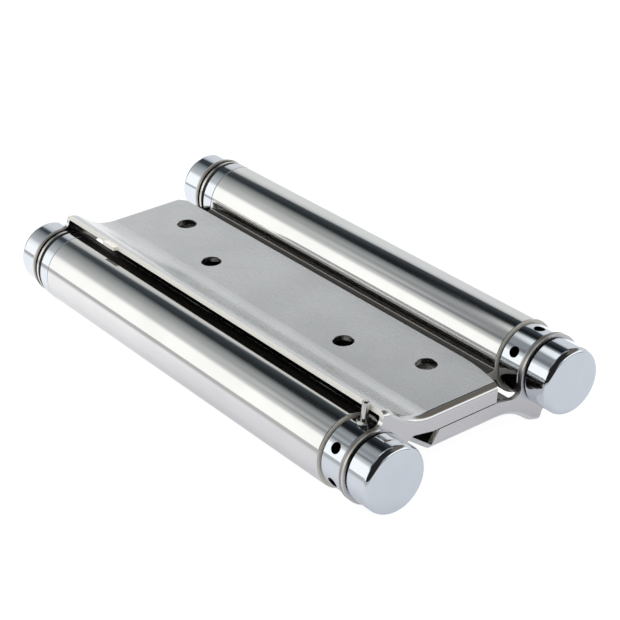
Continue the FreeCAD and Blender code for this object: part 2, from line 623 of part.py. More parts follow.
def make_pin(side):
    """Tension pin: a shank in the collar's hole, a shoulder on the collar and a stem with a round top
    that bears on the lip's cut edge. It is turned about its own axis, Z."""
    body = new_body(f"{side}_tension_pin")
    shank = "(Sizes.pin_shank / 2)"
    shoulder = "(Sizes.pin_shoulder / 2)"
    stem = "(Sizes.pin_stem / 2)"
    seat = f"({COLLAR_RADIUS} + Sizes.seat_gap)"
    shoulder_top = f"({seat} + Sizes.pin_shoulder_height)"
    bottom = f"({RUNNING_RADIUS} + Sizes.seat_gap)"
    sketch = new_sketch(body, "XZ_Plane", "PinProfile")
    draw_polygon(sketch, [
        ("0", bottom),
        (shank, bottom),
        (shank, seat),
        (shoulder, seat),
        (shoulder, shoulder_top),
        (stem, shoulder_top),
        (stem, PIN_TOP),
        ("0", PIN_TOP),
    ])
    turned = body.newObject("PartDesign::Revolution", "Pin")
    turned.Profile = sketch
    turned.ReferenceAxis = (sketch, ["V_Axis"])
    turned.Angle = 360
    doc.recompute()
    top = number(PIN_TOP)

    def on_top(edge):
        return edge.Curve.TypeId == "Part::GeomCircle" and near(edge.Curve.Center.z, top)

    add_dressing(body, "Fillet", "PinTop", edges_where(body, on_top), "Sizes.pin_tip_round")
    place_on_barrel(body, side, PIN_LEAN, f"(-{COLLAR_MIDDLE})")
    return body


def make_plug(side):
    """Fixed plug: its neck is held in the tube's far end and its flange is flush with the tube. A blind
    hole takes the spring's other tang."""
    body = new_body(f"{side}_fixed_plug")
    neck = f"({TUBE_BORE_RADIUS} - Sizes.seat_gap)"
    flange_inner = f"({TUBE_FAR} + Sizes.seat_gap)"
    add_turned(body, "Plug", [
        (RUNNING_RADIUS, PLUG_NECK_END),
        (neck, PLUG_NECK_END),
        (neck, flange_inner),
        (TUBE_RADIUS, flange_inner),
        (TUBE_RADIUS, PLUG_OUTER),
        (RUNNING_RADIUS, PLUG_OUTER),
    ])
    rim = ring_edges(body, TUBE_RADIUS, [PLUG_OUTER])
    add_dressing(body, "Chamfer", "FlangeRim", rim, "Sizes.edge_break")
    tang = new_sketch(body, "XZ_Plane", "TangHole", f"(-{PLUG_NECK_END})")
    draw_circle(tang, SPRING_RADIUS, "0", TANG_HOLE_RADIUS)
    add_pocket(body, tang, "Tang", TANG_HOLE_DEPTH, symmetric=False, reverse=False)
    place_on_barrel(body, side, PIN_LEAN)
    return body


def make_ring(name, side, outer, inner, low, high):
    """Plain flat ring about the barrel's axis between two stations along Y."""
    body = new_body(name)
    add_turned(body, "Ring", [(inner, low), (outer, low), (outer, high), (inner, high)])
    place_on_barrel(body, side)
    return body


def make_spindle(side):
    """Spindle from cap to cap."""
    body = new_body(f"{side}_spindle")
    low = f"(-{SPINDLE_END})"
    add_turned(body, "Rod", [
        ("0", low),
        (SPINDLE_RADIUS, low),
        (SPINDLE_RADIUS, SPINDLE_END),
        ("0", SPINDLE_END),
    ])
    rims = ring_edges(body, SPINDLE_RADIUS, [low, SPINDLE_END])
    add_dressing(body, "Chamfer", "Ends", rims, "Sizes.edge_break")
    place_on_barrel(body, side)
    return body


def make_cap(side, end):
    """Cap pressed on the end of the spindle, with a round edge at its face."""
    body = new_body(f"{side}_{end}_cap")
    sign = "-" if end == "near" else ""
    outer = "(Sizes.cap_diameter / 2)"
    seat = f"({sign}{CAP_SEAT})"
    face = f"({sign}{CAP_FACE})"
    floor = f"({sign}({SPINDLE_END} + Sizes.seat_gap))"
    add_turned(body, "Cap", [
        (SEAT_RADIUS, seat),
        (outer, seat),
        (outer, face),
        ("0", face),
        ("0", floor),
        (SEAT_RADIUS, floor),
    ])
    add_dressing(body, "Fillet", "FaceEdge", ring_edges(body, outer, [face]), "Sizes.cap_round")
    add_dressing(body, "Chamfer", "SeatEdge", ring_edges(body, outer, [seat]), "Sizes.edge_break")
    place_on_barrel(body, side)
    return body


def make_spring(side):
    """Torsion spring: a coil of round wire about the spindle with a straight tang along the barrel at
    each end, one in the collar and one in the fixed plug."""
    body = new_body(f"{side}_torsion_spring")
    wire = "(Sizes.spring_wire / 2)"
    low = f"(-{COLLAR_NECK_END} + Sizes.spring_end_gap + {wire})"
    high = f"({PLUG_NECK_END} - Sizes.spring_end_gap - {wire})"
    section = new_sketch(body, "XY_Plane", "WireSection")
    draw_circle(section, SPRING_RADIUS, low, wire)
    coil = body.newObject("PartDesign::AdditiveHelix", "Coil")
    coil.Profile = section
    coil.ReferenceAxis = (section, ["V_Axis"])
    coil.Mode = "height-turns-angle"
    coil.setExpression("Height", f"{high} - {low}")
    coil.setExpression("Turns", "Sizes.spring_turns")
    doc.recompute()
    for name, station, reverse in (("NearTang", low, False), ("FarTang", high, True)):
        tang = new_sketch(body, "XZ_Plane", name + "Section", f"(-{station})")
        draw_circle(tang, SPRING_RADIUS, "0", f"({wire} - Sizes.tang_relief)")
        add_pad(body, tang, name, f"({wire} + Sizes.tang_length)", reverse=reverse)
    place_on_barrel(body, side, PIN_LEAN)
    return body


pieces = [make_leaf("door_leaf", "left"), make_leaf("jamb_leaf", "right"), make_web("centre_web")]
for barrel in ("left", "right"):
    for make in (make_collar, make_pin, make_plug, make_spindle, make_spring):
        pieces.append(make(barrel))
    pieces.append(make_ring(f"{barrel}_far_spacer", barrel, "(Sizes.far_spacer_diameter / 2)", RUNNING_RADIUS,
                            PLUG_OUTER, FAR_SPACER_OUTER))
    pieces.append(make_ring(f"{barrel}_far_washer", barrel, "(Sizes.ear_diameter / 2)", RUNNING_RADIUS,
                            FAR_SPACER_OUTER, FAR_WASHER_OUTER))
    for end_name, low_end, high_end in (
        ("near", f"(-{CAP_SEAT})", f"(-{EAR_OUTER})"),
        ("far", EAR_OUTER, CAP_SEAT),
    ):
        pieces.append(make_cap(barrel, end_name))
        pieces.append(make_ring(f"{barrel}_{end_name}_cap_washer", barrel, "(Sizes.cap_washer_diameter / 2)",
                                SEAT_RADIUS, low_end, high_end))
doc.recompute()

for item in doc.Objects:
    if "Invalid" in item.State or "Error" in item.State:
        raise RuntimeError(f"{item.Name} failed: {item.State}")
for piece in pieces:
    if piece.Shape.isNull() or not piece.Shape.isValid() or len(piece.Shape.Solids) != 1:
        raise RuntimeError(f"{piece.Label} is not one valid solid")

os.makedirs("parts", exist_ok=True)
for piece in pieces:
    piece.Shape.exportStep(f"parts/{piece.Label}.step")
    box = piece.Shape.BoundBox
    print(f"{piece.Label}: {piece.Shape.Volume:.0f} mm3, x {box.XMin:.2f}..{box.XMax:.2f}, "
          f"y {box.YMin:.2f}..{box.YMax:.2f}, z {box.ZMin:.2f}..{box.ZMax:.2f}")
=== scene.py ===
# %% [markdown]
# # A double action spring hinge, closed and lying flat
#
# This file dresses a finished metal part for a studio picture. The hinge is two screw-on leaves round a
# centre web that is rolled into two polished barrels. Each barrel holds a spring, a spindle, a tension
# collar with its pin, a plug, washers and two chromed caps. The parts arrive as a fixed frame at their
# real size. Each step below says what a piece or a finish is on the real hinge, how it could be made,
# and why it is made this way.

# %% Load the frame
import json
import math

import bpy
from mathutils import Matrix, Vector


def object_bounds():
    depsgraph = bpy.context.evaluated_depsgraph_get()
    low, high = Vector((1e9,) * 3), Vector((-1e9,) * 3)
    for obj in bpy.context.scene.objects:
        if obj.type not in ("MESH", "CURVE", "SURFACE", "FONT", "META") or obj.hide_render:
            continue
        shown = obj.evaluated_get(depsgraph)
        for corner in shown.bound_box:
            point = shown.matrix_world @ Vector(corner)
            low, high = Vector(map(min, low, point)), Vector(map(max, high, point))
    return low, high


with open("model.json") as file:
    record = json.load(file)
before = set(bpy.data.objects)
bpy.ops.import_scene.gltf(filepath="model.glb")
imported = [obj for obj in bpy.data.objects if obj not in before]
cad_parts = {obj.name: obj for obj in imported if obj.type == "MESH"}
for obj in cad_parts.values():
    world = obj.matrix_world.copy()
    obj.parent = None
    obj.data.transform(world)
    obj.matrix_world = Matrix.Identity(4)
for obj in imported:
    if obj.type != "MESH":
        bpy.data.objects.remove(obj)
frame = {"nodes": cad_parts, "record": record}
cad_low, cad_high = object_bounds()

MM = 0.001
nodes = frame["nodes"]
frame_size = [round(side / MM, 1) for side in (cad_high - cad_low)]
print("pieces in the frame:", len(nodes), "size in mm:", frame_size)

# %% [markdown]
# ## Helpers for nodes
#
# Every finish is a small network of nodes, and so is the studio. A network can be drawn by hand in the
# shader editor, but in code it can be named, repeated and placed by the hinge's own sizes. These helpers
# keep the networks short: one makes an empty material, one joins sockets to its shader, one adds a node
# and sets its values, and one does sums on sockets.

# %% Node helpers
def new_material(name, metallic):
    """Empty material with its shader and output joined."""
    material = bpy.data.materials.new(name)
    material.use_nodes = True
    tree = material.node_tree
    tree.nodes.clear()
    shader = tree.nodes.new("ShaderNodeBsdfPrincipled")
    shader.inputs["Metallic"].default_value = metallic
    output = tree.nodes.new("ShaderNodeOutputMaterial")
    tree.links.new(shader.outputs["BSDF"], output.inputs["Surface"])
    return material, tree, shader


def join_shader(tree, shader, sockets):
    """Join sockets to the shader's inputs of the same names."""
    for name, socket in sockets.items():
        tree.links.new(socket, shader.inputs[name])


def add_node(tree, kind, inputs=None, **settings):
    """New node with its settings, and its inputs set to values or joined to sockets."""
    node = tree.nodes.new(kind)
    for key, value in settings.items():
        setattr(node, key, value)
    for key, value in (inputs or {}).items():
        if isinstance(value, bpy.types.NodeSocket):
            tree.links.new(value, node.inputs[key])
        else:
            node.inputs[key].default_value = value
    return node


def sum_up(tree, operation, first, second=0.0):
    """One sum on two values or sockets, such as ADD, MULTIPLY, MAXIMUM or ABSOLUTE."""
    return add_node(tree, "ShaderNodeMath", {0: first, 1: second}, operation=operation).outputs[0]


# %% [markdown]
# ## Masks and mixes
#
# A mask is a number from 0 to 1 that says where a mark lies. It could be a painted picture, but a mask
# that is worked out from a measure stays sharp from near and far. A smooth step makes it, because a hard
# one leaves a jagged border. A mix then uses the mask to go from one colour or number to another. A Mix
# node has sockets for numbers, vectors and colours, so the places of its colour sockets get names.

# %% Masks and mixes
FIRST_COLOUR = 6
SECOND_COLOUR = 7
MIXED_COLOUR = 2


def ease(tree, value, start, end, low=0.0, high=1.0):
    """Smooth step from low to high as a value goes from start to end. Start may be above end."""
    return add_node(
        tree, "ShaderNodeMapRange",
        {"Value": value, "From Min": start, "From Max": end, "To Min": low, "To Max": high},
        interpolation_type="SMOOTHSTEP",
    ).outputs[0]


def both(tree, first, second):
    """Mask that is full where two masks are."""
    return sum_up(tree, "MULTIPLY", first, second)


def either(tree, first, second):
    """Mask that is full where one of two masks is."""
    return sum_up(tree, "MAXIMUM", first, second)


def swap(tree, mask, plain, marked):
    """Number that is plain off a mask and marked on it. Plain may be a socket."""
    return ease(tree, mask, 0.0, 1.0, plain, marked)


def blend(tree, factor, first, second):
    """Mix of two colours, each a value or a socket, by a factor socket."""
    mix = add_node(tree, "ShaderNodeMix", {"Factor": factor}, data_type="RGBA")
    for place, colour in ((FIRST_COLOUR, first), (SECOND_COLOUR, second)):
        if isinstance(colour, bpy.types.NodeSocket):
            tree.links.new(colour, mix.inputs[place])
        else:
            mix.inputs[place].default_value = (*colour, 1.0)
    return mix.outputs[MIXED_COLOUR]


# %% [markdown]
# ## Patterns that stay with the metal
#
# Grain, polishing lines and clouding all come from noise on Object coordinates. A noise that is drawn
# out along one axis makes lines along it, which is how a brushed or turned surface is made. Because the
# coordinates belong to the piece, the marks stay in place when a leaf swings.

# %% Grain and bumps
NOISE_MIDDLE = (0.3, 0.7)
LATHE_RINGS = (0.1, 1.0, 0.1)


def noise(tree, bumps_per_metre, detail=2.0, stretch=(1.0, 1.0, 1.0)):
    """Noise from 0 to 1. A small stretch along an axis draws its spots out into lines there."""
    place = add_node(tree, "ShaderNodeTexCoord")
    scale = tuple(bumps_per_metre * share for share in stretch)
    point = add_node(tree, "ShaderNodeMapping", {"Vector": place.outputs["Object"], "Scale": scale})
    spots = {"Vector": point.outputs[0], "Scale": 1.0, "Detail": detail}
    return add_node(tree, "ShaderNodeTexNoise", spots).outputs["Fac"]


def spread(tree, grain, low, high):
    """The middle part of a noise, spread between two numbers."""
    return ease(tree, grain, *NOISE_MIDDLE, low, high)


def clouded(tree, grain, dark, light):
    """Colour that drifts between a dark and a light shade with a noise."""
    return blend(tree, spread(tree, grain, 0.0, 1.0), dark, light)


def bump(tree, height, distance, base=None):
    """Bump from a height socket, with the distance in metres, over another bump if one is given."""
    node = add_node(tree, "ShaderNodeBump", {"Height": height, "Distance": distance, "Strength": 1.0})
    if base is not None:
        tree.links.new(base, node.inputs["Normal"])
    return node.outputs["Normal"]


# %% [markdown]
# ## Where a mark belongs
#
# A sheared edge or a worn rim is a different finish on the same piece, and so is the painted shade
# inside a hole. The place of a mark is worked out from the same sizes as the metal: how far a point is
# from a barrel's axis, how far along the barrel it lies, and which way the surface faces.

# %% Places on the metal
AXIS_ACROSS = 30.4 * MM
AXIS_UP = 2.8 * MM
BARREL_SIGN = {"left": -1.0, "right": 1.0}


def object_place(tree):
    """Sockets of the point's x, y and z, and of the direction that the surface faces, on the piece."""
    place = add_node(tree, "ShaderNodeTexCoord")
    point = add_node(tree, "ShaderNodeSeparateXYZ", {0: place.outputs["Object"]})
    facing = add_node(tree, "ShaderNodeSeparateXYZ", {0: place.outputs["Normal"]})
    return point.outputs, facing.outputs


def from_barrel(tree, point, side):
    """Distance of a point from a barrel's axis, and its place across and up from that axis."""
    sign = BARREL_SIGN[side]
    across = sum_up(tree, "SUBTRACT", point[0], sign * AXIS_ACROSS)
    up = sum_up(tree, "SUBTRACT", point[2], sign * AXIS_UP)
    joined = add_node(tree, "ShaderNodeCombineXYZ", {0: across, 2: up})
    distance = add_node(tree, "ShaderNodeVectorMath", {0: joined.outputs[0]}, operation="LENGTH")
    return distance.outputs["Value"], across, up


print("barrel axes:", round(2 * AXIS_ACROSS / MM, 1), "mm apart, measured across the hinge")

# %% [markdown]
# ## Marks on a leaf
#
# A leaf is stamped from sheet. Its two ends are bent down as flanges that widen to ears round a barrel,
# and its long edge rises over the barrel as a lip. Each mark on it has a border: a pair of measures,
# the first where the mark begins and the second where it is full.

# %% Sizes of a leaf
TUBE_RADIUS = 10.8 * MM
HALF_LENGTH = 76.2 * MM
LEAF_SHEET = 1.5 * MM
FLANGE_INSIDE = HALF_LENGTH - LEAF_SHEET
LEAF_TOP = 5.4 * MM
LEAF_FREE_EDGE = 14.15 * MM
BEND_INSIDE = 0.5 * MM
BEND_RADIUS = BEND_INSIDE + LEAF_SHEET
EAR_RADIUS = 10.5 * MM
LIP_GAP = 2.75 * MM
LIP_INNER_RADIUS = TUBE_RADIUS + LIP_GAP
LIP_CUT_ANGLE = math.radians(77.5)
print("a leaf's flange begins", round(FLANGE_INSIDE / MM, 2), "mm from the middle")

# %% [markdown]
# Most borders are soft over a tenth of a millimetre or less, so that a mark ends at its edge of the
# metal, and only the burnished bend fades over a millimetre. How squarely a surface faces a way is the
# cosine of an angle: 1 for a surface that faces it, 0 for one that runs along it.

# %% Borders of a leaf's marks
LIP_CUT_BORDER = (-0.12 * MM, -0.04 * MM)
LIP_INSIDE_BORDER = (LIP_INNER_RADIUS - 0.2 * MM, LIP_INNER_RADIUS - 0.1 * MM)
FREE_EDGE_BORDER = (LEAF_FREE_EDGE - 0.05 * MM, LEAF_FREE_EDGE - 0.02 * MM)
FLANGE_BORDER = (FLANGE_INSIDE - 0.02 * MM, FLANGE_INSIDE + 0.02 * MM)
INSIDE_BORDER = (FLANGE_INSIDE + 0.1 * MM, FLANGE_INSIDE - 0.1 * MM)
BELOW_BEND_BORDER = (LEAF_TOP - BEND_RADIUS, LEAF_TOP - BEND_RADIUS - 0.1 * MM)
EAR_BORDER = (EAR_RADIUS + 1.0 * MM, EAR_RADIUS + 0.7 * MM)
TORN_BORDER = (HALF_LENGTH - 0.55 * MM, HALF_LENGTH - 0.65 * MM)
BEND_BORDER = (HALF_LENGTH - BEND_RADIUS - 0.6 * MM, HALF_LENGTH - BEND_RADIUS + 0.3 * MM)
BEND_HEIGHT_BORDER = (2.2 * MM, 3.2 * MM)
FLANGE_FACING = (0.9, 0.97)
RIM_FACING = (0.6, 0.5)
INSIDE_FACING = (-0.3, -0.5)


def leaf_marks(tree, side):
    """Masks of a leaf's marks by name, from how far along, across and up a point lies."""
    outward = -BARREL_SIGN[side]
    point, facing = object_place(tree)
    distance, across, up = from_barrel(tree, point, side)
    along = sum_up(tree, "ABSOLUTE", point[1])
    height = sum_up(tree, "MULTIPLY", point[2], outward)
    reach = sum_up(tree, "MULTIPLY", point[0], outward)
    faces_out = sum_up(tree, "MULTIPLY", facing[2], outward)
    faces_along = sum_up(tree, "ABSOLUTE", facing[1])

    # The lip's cut edge points at the barrel's axis, so it is a plane through that axis.
    past_cut = sum_up(
        tree, "ADD",
        sum_up(tree, "MULTIPLY", across, -outward * math.sin(LIP_CUT_ANGLE)),
        sum_up(tree, "MULTIPLY", up, outward * math.cos(LIP_CUT_ANGLE)),
    )
    lip_cut = both(tree, ease(tree, past_cut, *LIP_CUT_BORDER), ease(tree, distance, *LIP_INSIDE_BORDER))
    on_flange = ease(tree, along, *FLANGE_BORDER)
    off_bend = either(tree, ease(tree, height, *BELOW_BEND_BORDER), ease(tree, distance, *EAR_BORDER))
    return {
        "sheared": either(tree, lip_cut, ease(tree, reach, *FREE_EDGE_BORDER)),
        "flange face": both(tree, on_flange, ease(tree, faces_along, *FLANGE_FACING)),
        "rim": both(tree, both(tree, on_flange, off_bend), ease(tree, faces_along, *RIM_FACING)),
        "torn": ease(tree, along, *TORN_BORDER),
        "bend": both(tree, ease(tree, along, *BEND_BORDER), ease(tree, height, *BEND_HEIGHT_BORDER)),
        "inside": both(tree, ease(tree, faces_out, *INSIDE_FACING), ease(tree, along, *INSIDE_BORDER)),
    }


# %% [markdown]
# ## Leaf steel
#
# The leaves are satin stainless sheet. The rolled face keeps a fine grain along the leaf, the press
# burnishes the bends, and the long sheared edges are pale and matte beside it. The rim of an ear shows
# how a punch cuts: a burnished band where the punch enters, then a darker torn band. The flange faces
# are a plain grey. The inner face, hidden between the leaf and the web, is painted nearly black as the
# shade that falls there. Each of these could be a material of its own on its own faces. One material
# with masks does it all without cutting up the mesh. It is made once for each leaf, because the jamb
# leaf is the door leaf after half a turn.

# %% Leaf steel
SATIN_DARK = (0.80, 0.81, 0.81)
SATIN_LIGHT = (0.88, 0.89, 0.89)
SHEARED_EDGE = (0.96, 0.94, 0.88)
HIDDEN_FACE_SHADE = (0.17, 0.16, 0.15)
PLAIN_FLANGE = (0.71, 0.70, 0.71)
BURNISHED_RIM = (0.80, 0.78, 0.73)
TORN_RIM = (0.40, 0.37, 0.34)
SATIN_ROUGH = (0.25, 0.29)
BEND_ROUGH = 0.17
RIM_ROUGH = 0.38
MATTE_ROUGH = 0.55
SHEARED_METALLIC = 0.25
GRAIN_LINES = (1.0, 0.03, 1.0)
GRAIN_DEPTH = 0.0006 * MM


def leaf_steel(name, side):
    """Satin sheet, burnished bends, pale sheared edges, two-tone rims, inner face painted as shade."""
    material, tree, shader = new_material(name, metallic=1.0)
    marks = leaf_marks(tree, side)
    grain = noise(tree, bumps_per_metre=5000, detail=3.0, stretch=GRAIN_LINES)
    clouds = noise(tree, bumps_per_metre=55, detail=3.0)
    rim_colour = blend(tree, marks["torn"], BURNISHED_RIM, TORN_RIM)

    colour = clouded(tree, clouds, SATIN_DARK, SATIN_LIGHT)
    # Painted shade: the inner face between the leaf and the web is made nearly black.
    colour = blend(tree, marks["inside"], colour, HIDDEN_FACE_SHADE)
    colour = blend(tree, marks["flange face"], colour, PLAIN_FLANGE)
    colour = blend(tree, marks["rim"], colour, rim_colour)
    colour = blend(tree, marks["sheared"], colour, SHEARED_EDGE)
    rough = spread(tree, grain, *SATIN_ROUGH)
    rough = swap(tree, marks["bend"], rough, BEND_ROUGH)
    rough = swap(tree, marks["rim"], rough, RIM_ROUGH)
    rough = swap(tree, either(tree, marks["inside"], marks["sheared"]), rough, MATTE_ROUGH)
    join_shader(tree, shader, {
        "Base Color": colour,
        "Roughness": rough,
        "Metallic": swap(tree, marks["sheared"], 1.0, SHEARED_METALLIC),
        "Normal": bump(tree, grain, GRAIN_DEPTH),
    })
    return material


door_leaf_steel = leaf_steel("door_leaf_steel", "left")
jamb_leaf_steel = leaf_steel("jamb_leaf_steel", "right")
print("leaf steel:", len(door_leaf_steel.node_tree.nodes), "nodes for each leaf")

# %% [markdown]
# ## Marks on the centre web
#
# The centre web is one sheet whose two edges are rolled into tubes. A rolled edge ends in a foot that
# lies on the web. The marks are the flat web, the inside of the tubes, their sawn ends, the feet's cut
# ends, and the two bands where the feet are welded down and ground. They are found by borders too.

# %% Sizes of the centre web
TUBE_NEAR_END = -66.1 * MM
TUBE_FAR_END = 67.05 * MM
WEB_SURFACE = 0.75 * MM
FOOT_END = 8.0 * MM
GROUND_INNER = 6.5 * MM
GROUND_OUTER = 13.0 * MM
OFF_TUBE_BORDER = (TUBE_RADIUS + 0.05 * MM, TUBE_RADIUS + 0.3 * MM)
BORE_BORDER = (TUBE_RADIUS - 0.3 * MM, TUBE_RADIUS - 0.6 * MM)
NEAR_END_BORDER = (TUBE_NEAR_END + 0.08 * MM, TUBE_NEAR_END + 0.02 * MM)
FAR_END_BORDER = (TUBE_FAR_END - 0.08 * MM, TUBE_FAR_END - 0.02 * MM)
OFF_WEB_BORDER = (WEB_SURFACE + 0.05 * MM, WEB_SURFACE + 0.1 * MM)
FOOT_CUT_BORDER = (FOOT_END + 0.08 * MM, FOOT_END + 0.04 * MM)
GROUND_INNER_BORDER = (GROUND_INNER, GROUND_INNER + 0.3 * MM)
GROUND_OUTER_BORDER = (GROUND_OUTER + 0.3 * MM, GROUND_OUTER)


def web_marks(tree):
    """Masks of the centre web's marks by name, from how far off the axes and the middle a point lies."""
    point, _ = object_place(tree)
    off_tube = sum_up(tree, "MINIMUM", from_barrel(tree, point, "left")[0],
                      from_barrel(tree, point, "right")[0])
    off_middle = sum_up(tree, "ABSOLUTE", point[0])
    off_web = ease(tree, sum_up(tree, "ABSOLUTE", point[2]), *OFF_WEB_BORDER)
    return {
        "shaded web and bores": either(tree, ease(tree, off_tube, *OFF_TUBE_BORDER),
                            ease(tree, off_tube, *BORE_BORDER)),
        "ground": both(tree, ease(tree, off_middle, *GROUND_INNER_BORDER),
                       ease(tree, off_middle, *GROUND_OUTER_BORDER)),
        "sawn end": either(tree, ease(tree, point[1], *NEAR_END_BORDER),
                           ease(tree, point[1], *FAR_END_BORDER)),
        "foot cut": both(tree, off_web, ease(tree, off_middle, *FOOT_CUT_BORDER)),
    }


print("tubes:", round((TUBE_FAR_END - TUBE_NEAR_END) / MM, 2), "mm long")

# %% [markdown]
# ## Tube steel
#
# The tubes are polished after they are rolled. The polish leaves faint lines along the tube and a very
# slight waviness that bends the reflections, so the finish is a near mirror over two bumps, one fine and
# one wide. The flat web and the bores are out of the buffing wheel's reach and stay rough, and they are
# painted nearly black as the shade under the leaves and inside the tubes. The ground bands and the
# feet's cut ends are pale and matte, and the sawn tube ends are dull.

# %% Tube steel
POLISHED_DARK = (0.84, 0.84, 0.83)
POLISHED_LIGHT = (0.88, 0.88, 0.87)
WEB_GROUND = (0.93, 0.91, 0.87)
SAWN_END = (0.70, 0.67, 0.61)
POLISHED_ROUGH = (0.06, 0.10)
ROLLED_ROUGH = 0.45
GROUND_ROUGH = 0.4
GROUND_METALLIC = 0.15
SAWN_METALLIC = 0.4
POLISH_LINES = (1.0, 0.02, 1.0)
POLISH_DEPTH = 0.0008 * MM
LONG_WAVES = (1.0, 0.35, 1.0)
WAVE_DEPTH = 0.012 * MM


def tube_steel():
    """Mirror polish on the tubes, web and bores painted as shade, ground bands, and dull sawn ends."""
    material, tree, shader = new_material("polished_tube_steel", metallic=1.0)
    marks = web_marks(tree)
    lines = noise(tree, bumps_per_metre=1400, detail=3.0, stretch=POLISH_LINES)
    clouds = noise(tree, bumps_per_metre=70, detail=3.0)
    waves = noise(tree, bumps_per_metre=45, detail=1.0, stretch=LONG_WAVES)
    matte = either(tree, marks["ground"], marks["foot cut"])

    colour = clouded(tree, clouds, POLISHED_DARK, POLISHED_LIGHT)
    # Painted shade: the web and the bores are made nearly black for the dark under the leaves and in the
    # tubes.
    colour = blend(tree, marks["shaded web and bores"], colour, HIDDEN_FACE_SHADE)
    colour = blend(tree, marks["ground"], colour, WEB_GROUND)
    colour = blend(tree, marks["sawn end"], colour, SAWN_END)
    colour = blend(tree, marks["foot cut"], colour, SHEARED_EDGE)
    rough = spread(tree, lines, *POLISHED_ROUGH)
    rough = swap(tree, marks["shaded web and bores"], rough, ROLLED_ROUGH)
    rough = swap(tree, either(tree, matte, marks["sawn end"]), rough, GROUND_ROUGH)
    metallic = swap(tree, matte, 1.0, GROUND_METALLIC)
    join_shader(tree, shader, {
        "Base Color": colour,
        "Roughness": rough,
        "Metallic": swap(tree, marks["sawn end"], metallic, SAWN_METALLIC),
        "Normal": bump(tree, lines, POLISH_DEPTH, bump(tree, waves, WAVE_DEPTH)),
    })
    return material


polished_tube_steel = tube_steel()
print("tube steel:", len(polished_tube_steel.node_tree.nodes), "nodes")

# %% [markdown]
# ## Chrome
#
# Caps, collars and plugs are turned, polished and chrome plated. Chrome is a little blue beside steel,
# and the turning leaves rings that show only where a highlight breaks. The rings are noise that is
# drawn out across the axis, so no ring has to be modelled. A mask paints shade into the collar's bar
# holes, where little light gets in.

# %% Chrome
CHROME_DARK = (0.795, 0.84, 0.885)
CHROME_LIGHT = (0.815, 0.86, 0.905)
CHROME_ROUGH = (0.03, 0.06)
CHROME_DEPTH = 0.0006 * MM
BAR_HOLE_PAINTED_SHADE = (0.03, 0.03, 0.03)
HOLE_ROUGH = 0.6
BAR_HOLE_STATION = -70.4 * MM
BAR_HOLE_RADIUS = 1.6 * MM
COLLAR_STEP = 0.9 * MM
COLLAR_RADIUS = TUBE_RADIUS - COLLAR_STEP
BAR_HOLE_BORDER = (BAR_HOLE_RADIUS + 0.1 * MM, BAR_HOLE_RADIUS + 0.05 * MM)
HOLE_DEPTH_BORDER = (COLLAR_RADIUS - 0.12 * MM, COLLAR_RADIUS - 0.25 * MM)


def bar_hole_mark(tree, barrel):
    """Mask of a collar's bar holes: as far along as they are, and below the collar's outside."""
    point, _ = object_place(tree)
    distance, _, _ = from_barrel(tree, point, barrel)
    off_station = sum_up(tree, "ABSOLUTE", sum_up(tree, "SUBTRACT", point[1], BAR_HOLE_STATION))
    return both(tree, ease(tree, off_station, *BAR_HOLE_BORDER), ease(tree, distance, *HOLE_DEPTH_BORDER))


def chrome(name, barrel=None):
    """Bright chrome with faint turning rings. A barrel's name paints shade in its collar's bar holes."""
    material, tree, shader = new_material(name, metallic=1.0)
    rings = noise(tree, bumps_per_metre=1600, detail=2.0, stretch=LATHE_RINGS)
    clouds = noise(tree, bumps_per_metre=160, detail=2.0)
    colour = clouded(tree, clouds, CHROME_DARK, CHROME_LIGHT)
    rough = spread(tree, rings, *CHROME_ROUGH)
    if barrel is not None:
        in_hole = bar_hole_mark(tree, barrel)
        # Painted shade in the bar holes, where little light reaches.
        colour = blend(tree, in_hole, colour, BAR_HOLE_PAINTED_SHADE)
        rough = swap(tree, in_hole, rough, HOLE_ROUGH)
    normal = bump(tree, rings, CHROME_DEPTH)
    join_shader(tree, shader, {"Base Color": colour, "Roughness": rough, "Normal": normal})
    return material


bright_chrome = chrome("bright_chrome")
left_collar_chrome = chrome("left_collar_chrome", "left")
right_collar_chrome = chrome("right_collar_chrome", "right")
print("chrome:", len(bright_chrome.node_tree.nodes), "nodes, and on a collar",
      len(left_collar_chrome.node_tree.nodes))

# %% [markdown]
# ## Turned steel, spring wire and nylon
#
# Spindles, pins and the stamped washers are bare steel with rings from the lathe. The springs are
# oil-tempered wire, nearly black. The spacers and the washers under the caps are black nylon, the only
# pieces that are not metal. These finishes have no marks, so a noise for colour, gloss and bump is all
# that they need.

# %% Turned steel
TURNED_DARK = (0.70, 0.69, 0.66)
TURNED_LIGHT = (0.80, 0.79, 0.76)
TURNED_ROUGH = (0.14, 0.24)
TURNED_DEPTH = 0.002 * MM


def turned_steel():
    """Bare turned steel."""
    material, tree, shader = new_material("turned_steel", metallic=1.0)
    rings = noise(tree, bumps_per_metre=2500, detail=2.0, stretch=LATHE_RINGS)
    clouds = noise(tree, bumps_per_metre=150, detail=3.0)
    join_shader(tree, shader, {
        "Base Color": clouded(tree, clouds, TURNED_DARK, TURNED_LIGHT),
        "Roughness": spread(tree, rings, *TURNED_ROUGH),
        "Normal": bump(tree, rings, TURNED_DEPTH),
    })
    return material


bare_steel = turned_steel()
print("turned steel:", len(bare_steel.node_tree.nodes), "nodes")

# %% [markdown]
# Wire and nylon have one noise each. The wire is a little less metallic than the rest, because of the
# oxide and oil on it.

# %% Spring wire and nylon
WIRE_DARK = (0.09, 0.09, 0.10)
WIRE_LIGHT = (0.20, 0.19, 0.18)
WIRE_ROUGH = (0.25, 0.45)
WIRE_DEPTH = 0.005 * MM
NYLON_DARK = (0.030, 0.030, 0.031)
NYLON_LIGHT = (0.055, 0.055, 0.057)
NYLON_ROUGH = (0.42, 0.6)
NYLON_DEPTH = 0.006 * MM


